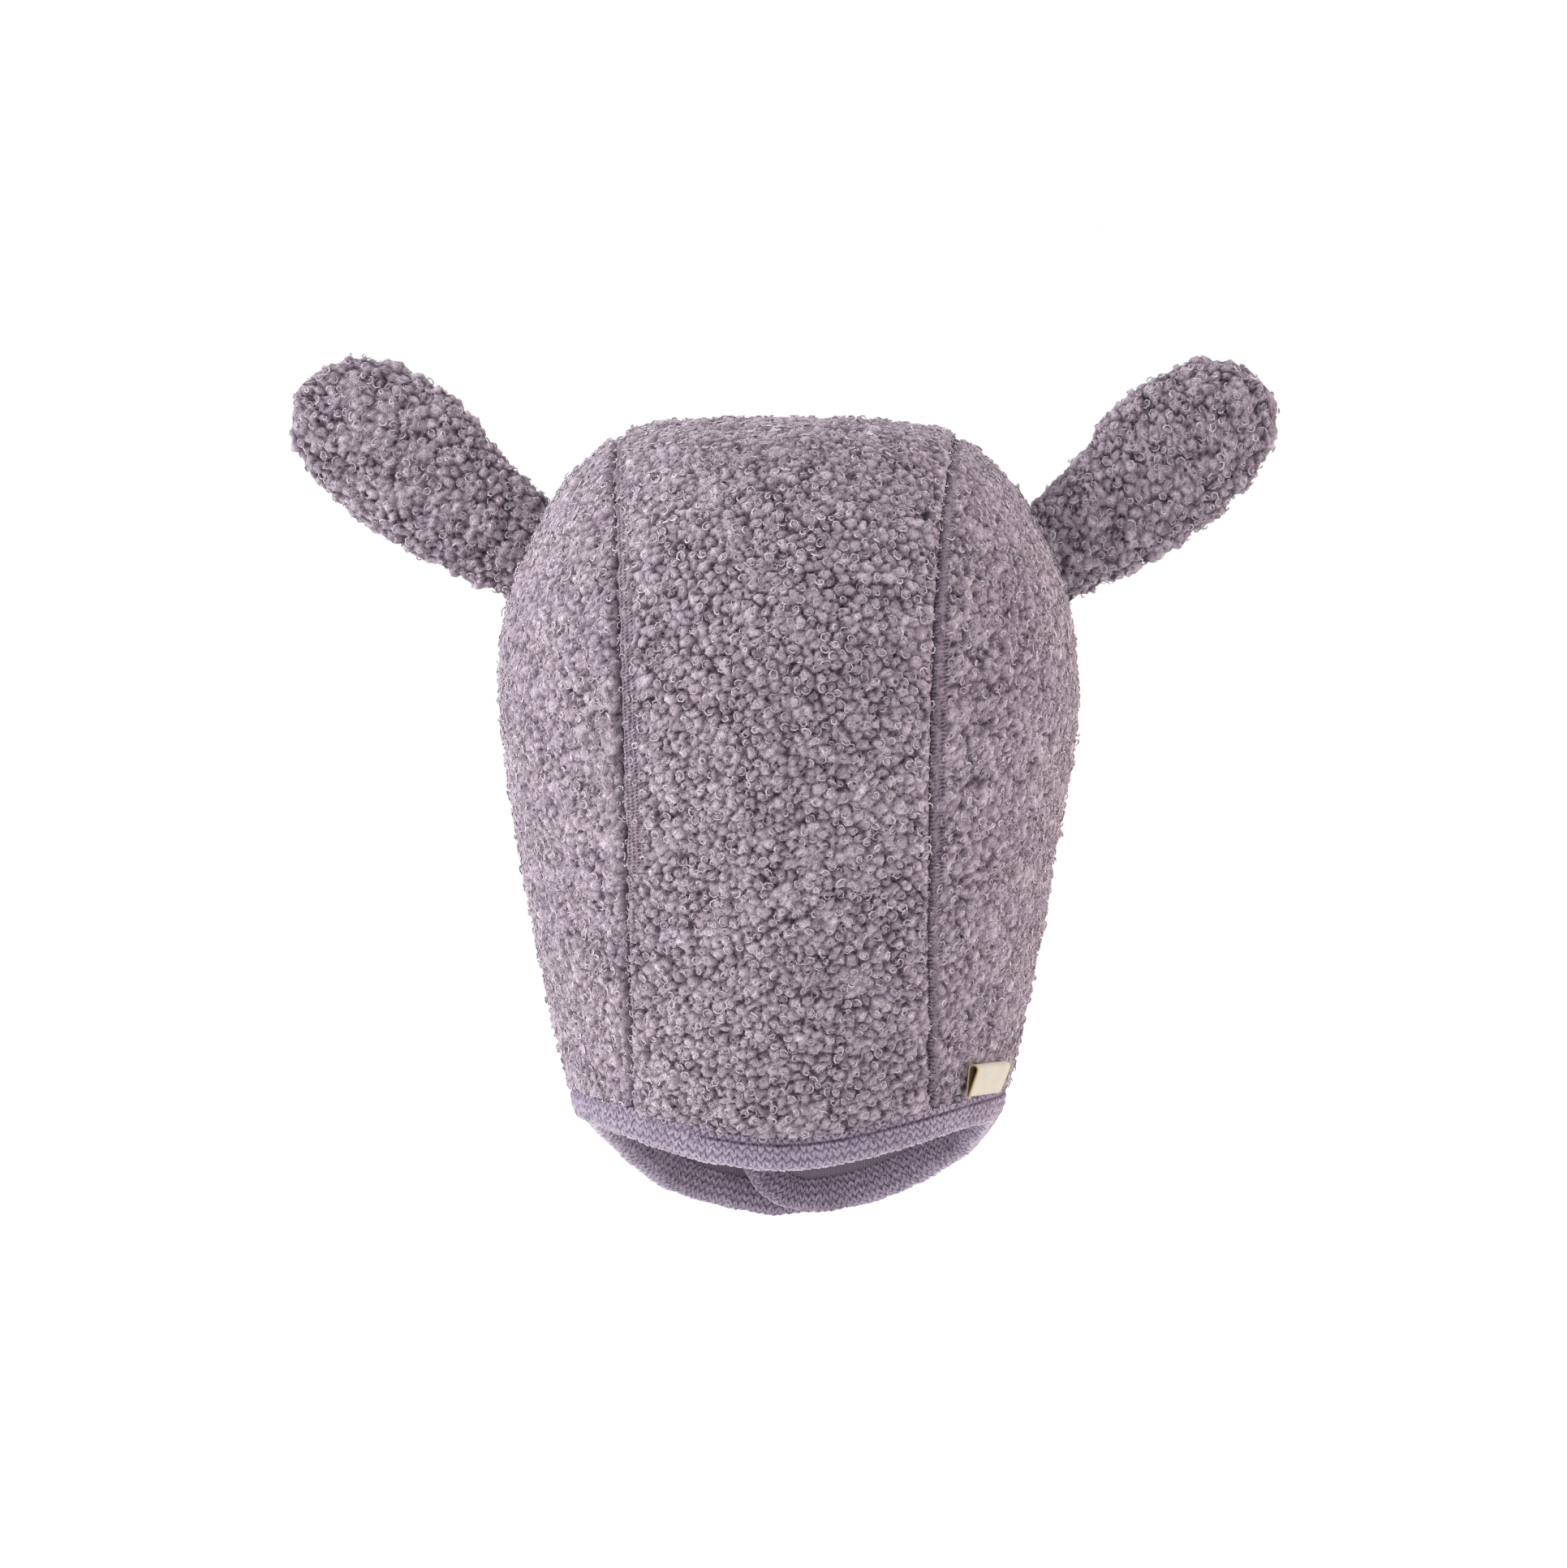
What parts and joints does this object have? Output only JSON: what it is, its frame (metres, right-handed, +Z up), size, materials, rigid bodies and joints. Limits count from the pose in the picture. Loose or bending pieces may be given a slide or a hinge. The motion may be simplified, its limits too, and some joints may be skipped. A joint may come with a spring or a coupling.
{
  "type": "baby hat with ears",
  "caption": "Helmet-shaped baby hat in curly wool with a padded ear on each side, overlapped chin tabs and a knit edge.",
  "frame": {"origin": "the point under the crown where the top of the head meets the lining", "axes": "+Z up, +Y the way the face looks, +X on the right of someone who looks at the back of the hat"},
  "size_m": [0.2642, 0.1745, 0.2359],
  "materials": {
    "curly_wool": "curly wool loops, matt",
    "knit_binding": "ribbed knit, matt with fine fuzz",
    "lining_jersey": "brushed jersey, matt",
    "label_tape": "woven tape, satin",
    "fastener": "hook-and-loop tape, matt"
  },
  "bodies": {
    "root": {"centre_panel": "curly_wool", "side_panel_left": "curly_wool", "side_panel_right": "curly_wool", "ear_left": "curly_wool", "ear_right": "curly_wool", "lining": "lining_jersey", "edge_binding": "knit_binding", "label_loop": "label_tape", "tab_fastener": "fastener"}
  },
  "joints": []
}
